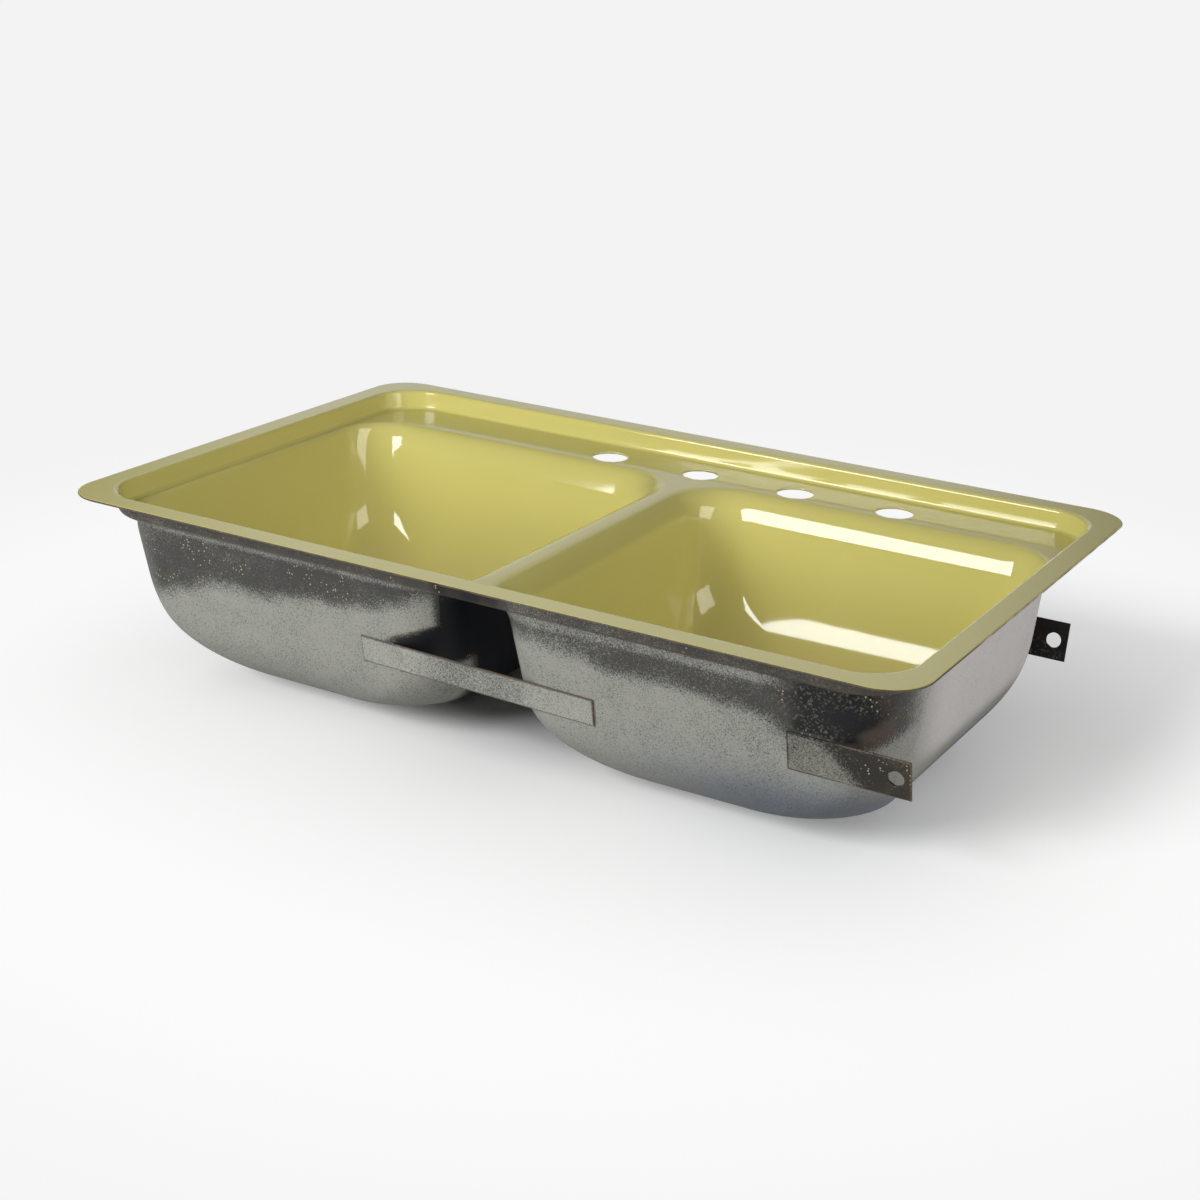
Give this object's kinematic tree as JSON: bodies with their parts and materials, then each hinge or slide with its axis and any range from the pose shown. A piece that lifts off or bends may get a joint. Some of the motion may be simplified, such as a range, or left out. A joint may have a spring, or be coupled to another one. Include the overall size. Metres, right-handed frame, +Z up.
{
  "type": "double bowl kitchen sink",
  "caption": "Drop-in pressed-steel kitchen sink: side-by-side bowls, sunken tap ledge with holes, flat rim, tie strap and lugs; gloss enamel above, speckled ground coat below.",
  "frame": {"origin": "on the floor under the centre of the rim's outline", "axes": "+X to the right along the front edge, +Y from the front to the tap ledge, +Z up"},
  "size_m": [0.8128, 0.508, 0.1864],
  "materials": {
    "enamel": "gloss yellow-green porcelain enamel",
    "ground_coat": "satin dark ground coat with pale grey sprayed speckle"
  },
  "bodies": {
    "root": {"deck": "enamel", "left_bowl": "enamel", "right_bowl": "enamel", "front_strap": "ground_coat", "front_lug": "ground_coat", "rear_lug": "ground_coat"}
  },
  "joints": []
}
